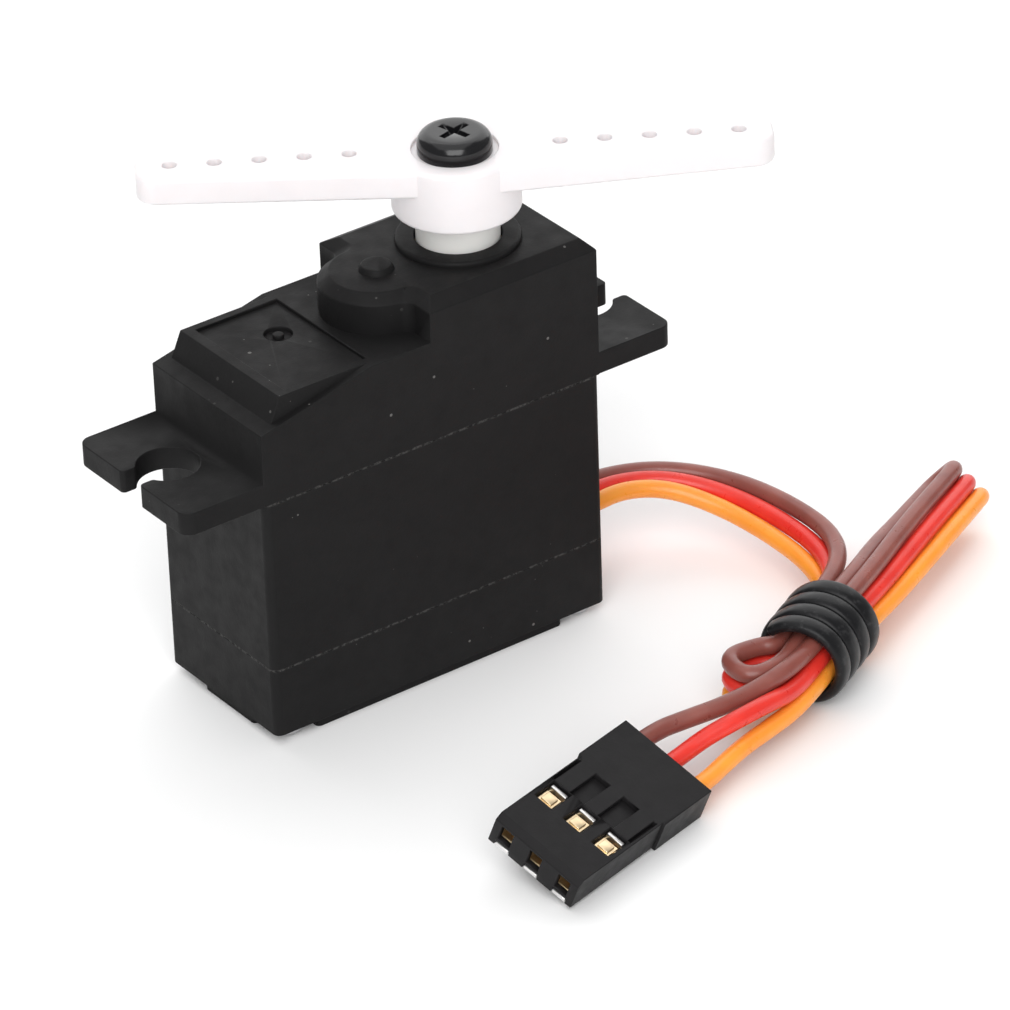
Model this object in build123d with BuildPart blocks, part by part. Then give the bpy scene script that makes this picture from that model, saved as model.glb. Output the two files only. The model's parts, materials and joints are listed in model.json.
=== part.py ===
"""Mini servo motor: split case, motor, four-stage gear train, feedback pot, double-arm horn and lead.

Millimetres. +X points along the case towards the output end, +Z along the output axis.
The origin is the centre of the bottom cover's underside.
"""
import os
from math import acos, cos, pi, radians, sin, tan

from build123d import *

os.makedirs("parts", exist_ok=True)

# ---------------------------------------------------------------- driving dimensions
body_length = 28.25
body_width = 13.0
wall = 0.9
body_corner_radius = 0.6

# heights of the case's levels
rim_z = 0.8
cover_floor_z = 2.0
seam_low_z = 6.05
deck_underside_z = 17.95
seam_high_z = 19.2
lug_bottom_z = 19.25
lug_top_z = 20.95
ledge_z = 24.7
low_roof_z = 26.8
chamfer_z = 29.05
top_z = 29.7
boss_top_z = 30.1

# axes of the gear train, all on the case's centre line
output_x = 7.15
idler_x = 0.25
motor_x = -6.125

# mounting lugs
lug_length = 6.4
lug_hole_radius = 2.2
lug_hole_x = 17.45
lug_mouth_width = 2.05
lug_corner_radius = 0.9

# case screws, one in each corner
screw_x = 12.35
screw_y = 4.85
screw_shank_radius = 0.6
screw_hole_radius = 0.68
screw_head_radius = 1.25
screw_tip_z = 23.0
column_radius = 1.45

# gears
fine_module = 0.25
coarse_module = 0.3
motor_pinion_teeth = 9
first_wheel_teeth = 42
pinion_teeth = 12
wheel_teeth = 34
addendum_factor = 0.8
dedendum_factor = 1.1
pressure_angle = radians(20)
tooth_thinning = 0.06
running_clearance = 0.04

# horn
hub_radius = 4.5
hub_bottom_z = 32.25
arm_bottom_z = 34.75
arm_top_z = 36.75
arm_root_half_width = 3.75
arm_tip_half_width = 2.0
arm_reach = 21.8
arm_angle = -32.0
horn_hole_count = 5
horn_hole_first = 7.2
horn_hole_pitch = 3.06
horn_hole_radius = 0.5

# lead: three wires side by side, doubled into a tied bundle, ending in a three-way plug
wire_diameter = 1.3
wire_pitch = 1.36
lead_exit_z = 5.25
bundle_pitch = 1.34
bundle_centre = Vector(19.5, -23.5, 3.5)
bundle_angle = radians(27.6)
plug_length = 14.0
plug_width = 7.8
plug_height = 2.7
plug_pitch = 2.54
plug_back_centre = Vector(2.27, -28.53, 2.75)
plug_yaw = radians(14.5)
plug_roll = radians(21.8)

inner_length = body_length - 2 * wall
inner_width = body_width - 2 * wall
half_length = body_length / 2
half_width = body_width / 2
output_axis = Plane((output_x, 0, 0))
idler_axis = Plane((idler_x, 0, 0))
motor_axis = Plane((motor_x, 0, 0))
screw_points = [(sx * screw_x, sy * screw_y) for sx in (-1, 1) for sy in (-1, 1)]


def save(builder, name):
    """Label a finished piece and write it."""
    builder.part.label = name
    export_step(builder.part, f"parts/{name}.step")


def cylinder(x, radius, bottom, top, mode=Mode.ADD):
    """An upright cylinder on the case's centre line, between two heights."""
    with BuildSketch(Plane.XY.offset(bottom)) as profile:
        with Locations((x, 0)):
            Circle(radius)
    extrude(profile.sketch, amount=top - bottom, mode=mode)


def ring(x, outer_radius, inner_radius, bottom, top):
    """An upright ring on the case's centre line."""
    with BuildSketch(Plane.XY.offset(bottom)) as profile:
        with Locations((x, 0)):
            Circle(outer_radius)
            Circle(inner_radius, mode=Mode.SUBTRACT)
    extrude(profile.sketch, amount=top - bottom)


def block(x_range, y_range, z_range, mode=Mode.ADD):
    """A rectangular block between three pairs of coordinates."""
    with BuildSketch(Plane.XY.offset(z_range[0])) as profile:
        with Locations(((x_range[0] + x_range[1]) / 2, (y_range[0] + y_range[1]) / 2)):
            Rectangle(x_range[1] - x_range[0], y_range[1] - y_range[0])
    extrude(profile.sketch, amount=z_range[1] - z_range[0], mode=mode)


def case_slice(bottom, top, corner_radius=body_corner_radius):
    """A solid slice of the case's outline."""
    with BuildSketch(Plane.XY.offset(bottom)) as profile:
        RectangleRounded(body_length, body_width, corner_radius)
    extrude(profile.sketch, amount=top - bottom)


def cavity(bottom, top):
    """Hollow the case between two heights, leaving a screw column in each corner."""
    with BuildSketch(Plane.XY.offset(bottom)) as profile:
        Rectangle(inner_length, inner_width)
        with Locations(*screw_points):
            Circle(column_radius, mode=Mode.SUBTRACT)
        for sx in (-1, 1):
            for sy in (-1, 1):
                with Locations((sx * (inner_length / 2), sy * (inner_width / 2))):
                    Rectangle(2 * (inner_length / 2 - screw_x), 2 * column_radius, mode=Mode.SUBTRACT)
                    Rectangle(2 * column_radius, 2 * (inner_width / 2 - screw_y), mode=Mode.SUBTRACT)
    extrude(profile.sketch, amount=top - bottom, mode=Mode.SUBTRACT)


def screw_holes(bottom, top, radius=screw_hole_radius):
    """Bore the four corner screw holes between two heights."""
    with BuildSketch(Plane.XY.offset(bottom)) as profile:
        with Locations(*screw_points):
            Circle(radius)
    extrude(profile.sketch, amount=top - bottom, mode=Mode.SUBTRACT)


def involute(angle):
    """The involute function."""
    return tan(angle) - angle


def gear_outline(teeth, module, phase=0.0):
    """Add a spur gear's outline, with stub involute teeth, to the sketch being made."""
    pitch_radius = module * teeth / 2
    base_radius = pitch_radius * cos(pressure_angle)
    root_radius = pitch_radius - dedendum_factor * module
    tip_radius = pitch_radius + addendum_factor * module
    half_at_pitch = pi / (2 * teeth) - tooth_thinning / (2 * pitch_radius)

    def half_angle(radius):
        reach = max(radius, base_radius)
        return half_at_pitch + involute(pressure_angle) - involute(acos(base_radius / reach))

    def flank_point(radius, side):
        return (radius * cos(half_angle(radius)), side * radius * sin(half_angle(radius)))

    start = max(root_radius, base_radius) + 0.001
    steps = [start + (tip_radius - start) * i / 3 for i in range(4)]
    foot = root_radius * 0.96
    Circle(root_radius)
    with BuildLine(mode=Mode.PRIVATE) as tooth_line:
        upper = Spline(*[flank_point(r, 1) for r in steps])
        lower = Spline(*[flank_point(r, -1) for r in steps])
        Line(upper @ 1, lower @ 1)
        Line(upper @ 0, flank_point(foot, 1))
        Line(lower @ 0, flank_point(foot, -1))
        Line(flank_point(foot, 1), flank_point(foot, -1))
    with PolarLocations(0, teeth, start_angle=phase):
        add(make_face(tooth_line.line, mode=Mode.PRIVATE))


def gear(axis, teeth, module, bottom, top, meshes_from_left=False):
    """Add a toothed wheel on an axis. A wheel driven from the far side is turned by half a pitch."""
    phase = 180.0 / teeth if meshes_from_left else 0.0
    with BuildSketch(axis.offset(bottom)) as profile:
        gear_outline(teeth, module, phase)
    extrude(profile.sketch, amount=top - bottom)


# ---------------------------------------------------------------- bottom cover
plate_inset = 0.4
pocket_length = 3.6
pocket_width = 3.5
lip_height = 0.6
lip_clearance = 0.05
lip_thickness = 0.45
exit_half_width = 2.3
exit_floor_z = 4.4
board_rib_x = (-8.0, 11.0)
board_z = (3.6, 4.6)

with BuildPart() as bottom_cover:
    case_slice(rim_z, seam_low_z)
    cavity(cover_floor_z, seam_low_z)
    # raised plate under the floor, cut back round the screw heads
    with BuildSketch() as plate:
        Rectangle(body_length - 2 * plate_inset, body_width - 2 * plate_inset)
        with Locations(*[(sx * half_length, sy * half_width) for sx in (-1, 1) for sy in (-1, 1)]):
            Rectangle(2 * pocket_length, 2 * pocket_width, mode=Mode.SUBTRACT)
        fillet(plate.vertices(), radius=0.35)
    extrude(amount=rim_z)
    screw_holes(0, seam_low_z)
    # rebate for the middle case's locating lip
    with BuildSketch(Plane.XY.offset(seam_low_z - lip_height)):
        Rectangle(inner_length + 2 * lip_thickness, inner_width + 2 * lip_thickness)
        Rectangle(inner_length, inner_width, mode=Mode.SUBTRACT)
    extrude(amount=lip_height, mode=Mode.SUBTRACT)
    # ribs that carry the circuit board
    for centre_x in board_rib_x:
        block((centre_x - 0.4, centre_x + 0.4), (-inner_width / 2, inner_width / 2),
              (cover_floor_z, board_z[0]))
    # notch that the lead leaves through
    block((half_length - 2 * wall, half_length + 1), (-exit_half_width, exit_half_width),
          (exit_floor_z, seam_low_z), Mode.SUBTRACT)
save(bottom_cover, "bottom_cover")

# ---------------------------------------------------------------- middle case
partition_x = (0.35, 1.35)
deck_boss_radius = 1.38
deck_boss_top_z = 20.55
pot_shaft_radius = 1.0
motor_boss_radius = 2.0
idler_pin_radius = 0.5
pin_fit = 0.02

with BuildPart() as middle_case:
    case_slice(seam_low_z, seam_high_z)
    cavity(seam_low_z, deck_underside_z)
    block(partition_x, (-inner_width / 2, inner_width / 2), (seam_low_z + 2.5, deck_underside_z))
    cylinder(output_x, deck_boss_radius, deck_underside_z, deck_boss_top_z)
    # openings through the deck
    cylinder(output_x, pot_shaft_radius + 0.06, deck_underside_z, deck_boss_top_z, Mode.SUBTRACT)
    cylinder(output_x, 2.25, deck_underside_z, seam_high_z - 0.3, Mode.SUBTRACT)
    cylinder(motor_x, motor_boss_radius + 0.05, deck_underside_z, seam_high_z, Mode.SUBTRACT)
    cylinder(idler_x, idler_pin_radius + pin_fit, deck_underside_z + 0.35, seam_high_z, Mode.SUBTRACT)
    with BuildSketch(Plane.XY.offset(deck_underside_z)):
        with Locations((motor_x, 4.0), (motor_x, -4.0)):
            Circle(0.7)
    extrude(amount=seam_high_z - deck_underside_z, mode=Mode.SUBTRACT)
    screw_holes(seam_low_z, seam_high_z)
    # locating lip that drops into the bottom cover
    with BuildSketch(Plane.XY.offset(seam_low_z - lip_height + lip_clearance)):
        Rectangle(inner_length + 2 * (lip_thickness - lip_clearance),
                  inner_width + 2 * (lip_thickness - lip_clearance))
        Rectangle(inner_length, inner_width, mode=Mode.SUBTRACT)
        with Locations((half_length, 0)):
            Rectangle(4 * wall, 2 * exit_half_width + 0.2, mode=Mode.SUBTRACT)
    extrude(amount=lip_height - lip_clearance)
save(middle_case, "middle_case")

# ---------------------------------------------------------------- top case
plateau_half_width = 5.9
plateau_foot_x = -13.05
plateau_edge_x = -12.1
slope_end_x = -4.9
block_front_x = 0.0
lobe_radius = 4.1
lobe_top_radius = 3.3
lobe_blend = 0.9
block_front_slope = 0.9
block_back_slope = 0.6
block_side_slope = 1.15
button_radius = 1.25
button_height = 0.4
boss_radius = 4.4
bush_outer_radius = 3.9
shaft_radius = 2.93
chamber_z = 23.9
wheel_chamber_z = 25.8
block_cavity_z = 28.6
recess_depth = 0.25


def lobe_outline(level, radius, front_x):
    """The lobe's circle with the block behind it, and the two corners between them rounded."""
    with BuildSketch(Plane.XY.offset(level)) as outline:
        with Locations((idler_x, 0)):
            Circle(radius)
        with Locations((front_x + 2.5, 0)):
            Rectangle(5, 10.4)
        corners = [v for v in outline.vertices() if abs(v.X - front_x) < 0.01 and abs(v.Y) < radius]
        fillet(corners, radius=lobe_blend)
    return outline.sketch


with BuildPart() as top_case:
    # lower walls, with the roof of the motor end sloping up towards the middle
    with BuildSketch(Plane.XZ.offset(-half_width)):
        with BuildLine():
            Polyline(
                (-half_length, seam_high_z),
                (half_length, seam_high_z),
                (half_length, low_roof_z),
                (slope_end_x, low_roof_z),
                (-half_length, ledge_z),
                close=True,
            )
        make_face()
    extrude(amount=body_width)
    # raised plateau over the motor end, its outer end sloping
    with BuildSketch(Plane.XZ.offset(-plateau_half_width)):
        with BuildLine():
            Polyline(
                (plateau_foot_x, seam_high_z + 1),
                (0, seam_high_z + 1),
                (0, low_roof_z),
                (plateau_edge_x, low_roof_z),
                (plateau_foot_x, ledge_z),
                close=True,
            )
        make_face()
    extrude(amount=2 * plateau_half_width)
    # high block over the output end, with chamfered upper edges
    block((block_front_x, half_length), (-half_width, half_width), (seam_high_z, chamfer_z))
    with BuildSketch(Plane.XY.offset(chamfer_z)):
        with Locations(((block_front_x + half_length) / 2, 0)):
            Rectangle(half_length - block_front_x, body_width)
    with BuildSketch(Plane.XY.offset(top_z)):
        with Locations(((block_front_x + block_front_slope + half_length - block_back_slope) / 2, 0)):
            Rectangle(
                half_length - block_front_x - block_front_slope - block_back_slope,
                body_width - 2 * block_side_slope,
            )
    loft()
    # round lobe over the idler pin, with a small domed button on top
    lobe_foot = lobe_outline(low_roof_z - 1, lobe_radius, block_front_x)
    extrude(lobe_foot, amount=chamfer_z - low_roof_z + 1)
    lobe_bottom = lobe_outline(chamfer_z, lobe_radius, block_front_x)
    lobe_top = lobe_outline(top_z, lobe_top_radius, block_front_x + block_front_slope)
    loft([lobe_bottom, lobe_top])
    with BuildSketch(Plane.XY.offset(top_z)):
        with Locations((idler_x, 0)):
            Circle(button_radius)
    extrude(amount=button_height, taper=25)
    # raised ring round the output shaft
    with BuildSketch(Plane.XY.offset(top_z - 0.5)):
        with Locations((output_x, 0)):
            Circle(boss_radius)
    extrude(amount=boss_top_z - top_z + 0.5)
    fillet(top_case.faces().sort_by(Axis.Z)[-1].edges(), radius=0.25)
    # shallow label recess with a dimple
    with BuildSketch(Plane.XY.offset(low_roof_z - recess_depth)):
        with Locations((-7.9, 0)):
            Rectangle(6.7, 10.5)
    extrude(amount=1, mode=Mode.SUBTRACT)
    with BuildSketch(Plane.XY.offset(low_roof_z - recess_depth - 0.3)):
        with Locations((-7.0, 1.55)):
            Circle(1.0)
            Circle(0.4, mode=Mode.SUBTRACT)
    extrude(amount=1, mode=Mode.SUBTRACT)
    # gear chamber
    cavity(seam_high_z, chamber_z)
    block((-11.6, 0.2), (-4.7, 4.7), (chamber_z, wheel_chamber_z), Mode.SUBTRACT)
    with BuildSketch(Plane.XY.offset(chamber_z)):
        with Locations((output_x, 0)):
            Circle(5.5)
        with Locations((idler_x, 0)):
            Circle(2.5)
    extrude(amount=wheel_chamber_z - chamber_z, mode=Mode.SUBTRACT)
    with BuildSketch(Plane.XY.offset(wheel_chamber_z)):
        with Locations((output_x - 0.1, 0)):
            Rectangle(12.2, 10.6)
        with Locations((output_x, 0)):
            Circle(4.75, mode=Mode.SUBTRACT)
    extrude(amount=block_cavity_z - wheel_chamber_z, mode=Mode.SUBTRACT)
    # bush seat and shaft hole
    cylinder(output_x, bush_outer_radius, wheel_chamber_z, block_cavity_z + 0.7, Mode.SUBTRACT)
    cylinder(output_x, shaft_radius + 0.12, wheel_chamber_z, boss_top_z + 1, Mode.SUBTRACT)
    # blind hole for the idler pin
    cylinder(idler_x, idler_pin_radius + pin_fit, chamber_z, block_cavity_z - 0.3, Mode.SUBTRACT)
    screw_holes(seam_high_z, screw_tip_z + 0.3)
    # lugs with keyhole slots open at their outer ends
    for side in (-1, 1):
        with BuildSketch(Plane.XY.offset(lug_bottom_z)) as lug:
            with Locations((side * (half_length + lug_length / 2 - 0.5), 0)):
                Rectangle(lug_length + 1, body_width)
            fillet(lug.vertices().group_by(Axis.X)[-1 if side > 0 else 0], radius=lug_corner_radius)
        extrude(amount=lug_top_z - lug_bottom_z)
    for side in (-1, 1):
        with BuildSketch(Plane.XY.offset(seam_high_z)) as keyhole:
            with Locations((side * (lug_hole_x + 2.5), 0)):
                Rectangle(5, lug_mouth_width)
            with Locations((side * lug_hole_x, 0)):
                Circle(lug_hole_radius)
        extrude(amount=lug_top_z - seam_high_z, mode=Mode.SUBTRACT)
    mouth = [e for e in top_case.edges().filter_by(Axis.Z)
             if abs(abs(e.center().Y) - lug_mouth_width / 2) < 0.01 and abs(e.center().X) > half_length + 4]
    fillet(mouth, radius=0.35)
save(top_case, "top_case")

# ---------------------------------------------------------------- case screws
with BuildPart() as case_screws:
    with BuildSketch(Plane.XY.offset(0.15)):
        with Locations(*screw_points):
            Circle(screw_head_radius)
    extrude(amount=rim_z - 0.15)
    fillet(case_screws.edges().group_by(Axis.Z)[0], radius=0.3)
    with BuildSketch(Plane.XY.offset(rim_z)):
        with Locations(*screw_points):
            Circle(screw_shank_radius)
    extrude(amount=screw_tip_z - rim_z)
    with Locations(*[(x, y, 0.15) for x, y in screw_points]):
        for turn in (0, 90):
            Box(1.4, 0.32, 0.7, rotation=(0, 0, turn), mode=Mode.SUBTRACT)
save(case_screws, "case_screws")

# ---------------------------------------------------------------- gear train
first_wheel_z = (19.45, 20.45)
first_pinion_z = (20.45, 22.0)
second_wheel_z = (20.75, 21.75)
second_pinion_z = (21.75, 23.5)
third_wheel_z = (22.2, 23.2)
third_pinion_z = (23.2, 25.3)
output_wheel_z = (23.75, 25.45)
idler_bore_radius = idler_pin_radius + running_clearance

with BuildPart() as compound_gear_1:
    gear(idler_axis, first_wheel_teeth, fine_module, *first_wheel_z, meshes_from_left=True)
    gear(idler_axis, pinion_teeth, coarse_module, *first_pinion_z)
    cylinder(idler_x, idler_bore_radius, first_wheel_z[0], first_pinion_z[1], Mode.SUBTRACT)
save(compound_gear_1, "compound_gear_1")

with BuildPart() as compound_gear_2:
    gear(output_axis, wheel_teeth, coarse_module, *second_wheel_z, meshes_from_left=True)
    gear(output_axis, pinion_teeth, coarse_module, *second_pinion_z)
    cylinder(output_x, pot_shaft_radius + running_clearance, second_wheel_z[0], second_pinion_z[1],
             Mode.SUBTRACT)
save(compound_gear_2, "compound_gear_2")

with BuildPart() as compound_gear_3:
    gear(idler_axis, wheel_teeth, coarse_module, *third_wheel_z, meshes_from_left=True)
    gear(idler_axis, pinion_teeth, coarse_module, *third_pinion_z)
    cylinder(idler_x, idler_bore_radius, third_wheel_z[0], third_pinion_z[1], Mode.SUBTRACT)
save(compound_gear_3, "compound_gear_3")

with BuildPart() as idler_pin:
    cylinder(idler_x, idler_pin_radius, deck_underside_z + 0.4, block_cavity_z - 0.4)
    chamfer(idler_pin.edges().group_by(Axis.Z)[-1], length=0.1)
save(idler_pin, "idler_pin")

# ---------------------------------------------------------------- output gear and its bush
spline_teeth = 20
spline_outer_radius = 2.45
spline_root_radius = 2.2
spline_top_z = 35.3
collar_radius = 3.4
pilot_radius = 0.9
horn_fit = 0.03


def spline_star(grow=0.0):
    """A ring of pointed teeth, for the output shaft's spline and the horn's socket."""
    step = 2 * pi / spline_teeth
    corners = []
    for i in range(spline_teeth):
        for radius, turn in ((spline_outer_radius + grow, i), (spline_root_radius + grow, i + 0.5)):
            corners.append((radius * cos(turn * step), radius * sin(turn * step)))
    with BuildLine(mode=Mode.PRIVATE) as outline:
        Polyline(*corners, close=True)
    add(make_face(outline.line, mode=Mode.PRIVATE))


with BuildPart() as output_gear:
    gear(output_axis, wheel_teeth, coarse_module, *output_wheel_z, meshes_from_left=True)
    cylinder(output_x, collar_radius, output_wheel_z[1], output_wheel_z[1] + 0.4)
    cylinder(output_x, shaft_radius, output_wheel_z[1], hub_bottom_z - 0.05)
    with BuildSketch(output_axis.offset(hub_bottom_z - 0.05)):
        spline_star()
    extrude(amount=spline_top_z - hub_bottom_z + 0.05)
    cylinder(output_x, pot_shaft_radius + 0.01, output_wheel_z[0], 26.6, Mode.SUBTRACT)
    cylinder(output_x, pilot_radius, 28.5, spline_top_z, Mode.SUBTRACT)
save(output_gear, "output_gear")

with BuildPart() as output_bush:
    ring(output_x, bush_outer_radius - 0.02, shaft_radius + 0.03, 25.97, block_cavity_z + 0.65)
save(output_bush, "output_bush")

# ---------------------------------------------------------------- horn and its screw
counterbore_radius = 3.0
counterbore_depth = 0.3
screw_head_top_z = 38.0
horn_plane = Plane((output_x, 0, 0)).rotated((0, 0, arm_angle))
hole_distances = [horn_hole_first + horn_hole_pitch * k for k in range(horn_hole_count)]

with BuildPart() as horn:
    with BuildSketch(horn_plane.offset(arm_bottom_z)) as arms:
        with BuildLine():
            Polyline(
                (arm_reach, arm_tip_half_width),
                (0, arm_root_half_width),
                (-arm_reach, arm_tip_half_width),
                (-arm_reach, -arm_tip_half_width),
                (0, -arm_root_half_width),
                (arm_reach, -arm_tip_half_width),
                close=True,
            )
        make_face()
        fillet(arms.vertices().group_by(Axis.X)[0], radius=1.5)
        fillet(arms.vertices().filter_by(lambda v: v.X > arm_reach - 0.01), radius=1.5)
        Circle(hub_radius)
    extrude(amount=arm_top_z - arm_bottom_z)
    fillet(horn.edges().group_by(Axis.Z)[-1], radius=0.3)
    fillet(horn.edges().group_by(Axis.Z)[0], radius=0.25)
    with BuildSketch(horn_plane.offset(hub_bottom_z)):
        Circle(hub_radius)
    extrude(amount=arm_top_z - hub_bottom_z - 0.5)
    fillet(horn.edges().group_by(Axis.Z)[0], radius=0.3)
    # socket over the splined shaft, and the screw's seat
    with BuildSketch(output_axis.offset(hub_bottom_z)):
        spline_star(horn_fit)
    extrude(amount=spline_top_z + 0.1 - hub_bottom_z, mode=Mode.SUBTRACT)
    with BuildSketch(horn_plane.offset(hub_bottom_z)):
        Circle(pilot_radius + 0.15)
    extrude(amount=arm_top_z - hub_bottom_z, mode=Mode.SUBTRACT)
    with BuildSketch(horn_plane.offset(arm_top_z - counterbore_depth)):
        Circle(counterbore_radius)
    extrude(amount=1, mode=Mode.SUBTRACT)
    with BuildSketch(horn_plane.offset(arm_bottom_z)):
        with Locations(*[(side * d, 0) for side in (-1, 1) for d in hole_distances]):
            Circle(horn_hole_radius)
    extrude(amount=arm_top_z - arm_bottom_z, mode=Mode.SUBTRACT)
save(horn, "horn")

with BuildPart() as horn_screw:
    cylinder(output_x, 2.6, arm_top_z - counterbore_depth, screw_head_top_z)
    fillet(horn_screw.edges().group_by(Axis.Z)[-1], radius=0.9)
    with Locations((output_x, 0, screw_head_top_z)):
        for turn in (0, 90):
            Box(2.5, 0.5, 1.5, rotation=(0, 0, turn + 12), mode=Mode.SUBTRACT)
    cylinder(output_x, pilot_radius - 0.02, 29.5, arm_top_z - counterbore_depth)
save(horn_screw, "horn_screw")

# ---------------------------------------------------------------- motor
can_radius = 6.0
can_half_flat = 5.0
can_wall = 0.5
can_z = (6.3, 17.9)
cap_z = 5.3
shaft_wire_radius = 0.5
armature_z = (9.0, 15.0)


def can_outline(inset=0.0):
    """A round outline with two flats."""
    Circle(can_radius - inset)
    Rectangle(2 * can_radius, 2 * (can_half_flat - inset), mode=Mode.INTERSECT)


with BuildPart() as motor_can:
    with BuildSketch(motor_axis.offset(can_z[0])):
        can_outline()
    extrude(amount=can_z[1] - can_z[0])
    fillet(motor_can.edges().group_by(Axis.Z)[-1], radius=0.4)
    with BuildSketch(motor_axis.offset(can_z[0])):
        can_outline(can_wall)
    extrude(amount=can_z[1] - can_z[0] - can_wall, mode=Mode.SUBTRACT)
    cylinder(motor_x, motor_boss_radius, can_z[1] - can_wall, 18.9)
    cylinder(motor_x, 1.5, can_z[0], 18.9, Mode.SUBTRACT)
    with BuildSketch(motor_axis.offset(can_z[1] - can_wall)):
        with Locations((0, 4.0), (0, -4.0)):
            Circle(0.47)
    extrude(amount=can_wall, mode=Mode.SUBTRACT)
save(motor_can, "motor_can")

with BuildPart() as motor_bearing:
    ring(motor_x, 1.48, shaft_wire_radius + running_clearance, 17.5, 18.85)
save(motor_bearing, "motor_bearing")

terminal_y = 3.45
with BuildPart() as motor_end_cap:
    with BuildSketch(motor_axis.offset(cap_z)):
        can_outline(0.05)
    extrude(amount=can_z[0] - cap_z)
    with BuildSketch(motor_axis.offset(can_z[0])):
        can_outline(can_wall + 0.03)
    extrude(amount=0.8)
    cylinder(motor_x, shaft_wire_radius + running_clearance, cap_z, 7.2, Mode.SUBTRACT)
    for side in (-1, 1):
        block((motor_x - 0.52, motor_x + 0.52), (side * terminal_y - 0.17, side * terminal_y + 0.17),
              (cap_z, 7.2), Mode.SUBTRACT)
save(motor_end_cap, "motor_end_cap")

with BuildPart() as motor_magnets:
    with BuildSketch(motor_axis.offset(armature_z[0] - 0.5)):
        can_outline(can_wall + 0.02)
        Circle(4.4, mode=Mode.SUBTRACT)
        Rectangle(4.6, 12, mode=Mode.SUBTRACT)
    extrude(amount=armature_z[1] - armature_z[0] + 1.0)
save(motor_magnets, "motor_magnets")

with BuildPart() as armature_core:
    with BuildSketch(motor_axis.offset(armature_z[0])) as lamination:
        Circle(4.1)
        Circle(3.35, mode=Mode.SUBTRACT)
        Circle(1.45)
        with PolarLocations(2.45, 3):
            Rectangle(2.1, 1.4)
        with PolarLocations(3.7, 3, start_angle=60):
            Rectangle(1.6, 1.1, mode=Mode.SUBTRACT)
        Circle(shaft_wire_radius, mode=Mode.SUBTRACT)
    extrude(amount=armature_z[1] - armature_z[0])
save(armature_core, "armature_core")

with BuildPart() as motor_windings:
    with BuildSketch(motor_axis.offset(armature_z[0] - 0.6)):
        with PolarLocations(2.3, 3):
            Rectangle(1.4, 2.4)
    extrude(amount=armature_z[1] - armature_z[0] + 1.2)
    with BuildSketch(motor_axis.offset(armature_z[0] - 0.02)):
        with PolarLocations(2.3, 3):
            Rectangle(1.6, 1.44)
    extrude(amount=armature_z[1] - armature_z[0] + 0.04, mode=Mode.SUBTRACT)
save(motor_windings, "motor_windings")

with BuildPart() as motor_commutator:
    with BuildSketch(motor_axis.offset(7.3)):
        Circle(1.3)
        with PolarLocations(1.25, 3, start_angle=30):
            Rectangle(0.5, 0.2, mode=Mode.SUBTRACT)
        Circle(shaft_wire_radius, mode=Mode.SUBTRACT)
    extrude(amount=0.95)
save(motor_commutator, "motor_commutator")

with BuildPart() as motor_shaft:
    cylinder(motor_x, shaft_wire_radius, 5.6, 20.8)
    chamfer(motor_shaft.edges().group_by(Axis.Z)[-1], length=0.1)
save(motor_shaft, "motor_shaft")

with BuildPart() as motor_pinion:
    gear(motor_axis, motor_pinion_teeth, fine_module, 19.3, 20.7)
    cylinder(motor_x, shaft_wire_radius, 19.3, 20.7, Mode.SUBTRACT)
save(motor_pinion, "motor_pinion")

with BuildPart() as motor_terminals:
    for side in (-1, 1):
        block((motor_x - 0.45, motor_x + 0.45), (side * terminal_y - 0.12, side * terminal_y + 0.12), (2.9, 8.1))
save(motor_terminals, "motor_terminals")

with BuildPart() as motor_brushes:
    for side in (-1, 1):
        block((motor_x - 0.4, motor_x + 0.4), sorted((side * 1.34, side * (terminal_y - 0.13))), (7.45, 8.05))
save(motor_brushes, "motor_brushes")

with BuildPart() as motor_screws:
    for radius, bottom, top in ((1.0, seam_high_z, seam_high_z + 0.45), (0.45, 17.0, seam_high_z)):
        with BuildSketch(motor_axis.offset(bottom)):
            with Locations((0, 4.0), (0, -4.0)):
                Circle(radius)
        extrude(amount=top - bottom)
save(motor_screws, "motor_screws")

# ---------------------------------------------------------------- feedback pot
pot_radius = 4.9
pot_z = (13.3, 17.9)
pot_pin_points = [(output_x + dx, -4.2) for dx in (-2.5, 0, 2.5)]

with BuildPart() as pot_body:
    cylinder(output_x, pot_radius, *pot_z)
    cylinder(output_x, 4.2, pot_z[0] + 0.6, pot_z[1] - 0.6, Mode.SUBTRACT)
    cylinder(output_x, 2.2, pot_z[1] - 0.6, 18.85)
    cylinder(output_x, pot_shaft_radius + running_clearance, pot_z[1] - 0.6, 18.85, Mode.SUBTRACT)
save(pot_body, "pot_body")

with BuildPart() as pot_track:
    ring(output_x, 4.0, 2.6, pot_z[0] + 0.6, pot_z[0] + 0.8)
save(pot_track, "pot_track")

with BuildPart() as pot_shaft:
    cylinder(output_x, pot_shaft_radius, 14.2, 26.5)
save(pot_shaft, "pot_shaft")

with BuildPart() as pot_wiper:
    ring(output_x, 2.2, pot_shaft_radius + 0.005, 15.2, 15.6)
    block((output_x + 2.0, output_x + 3.8), (-0.5, 0.5), (15.2, 15.6))
    block((output_x + 3.0, output_x + 3.8), (-0.4, 0.4), (14.15, 15.2))
save(pot_wiper, "pot_wiper")

with BuildPart() as pot_terminals:
    with BuildSketch(Plane.XY.offset(3.1)):
        with Locations(*pot_pin_points):
            Rectangle(0.8, 0.4)
    extrude(amount=pot_z[0] - 3.1)
save(pot_terminals, "pot_terminals")

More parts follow.
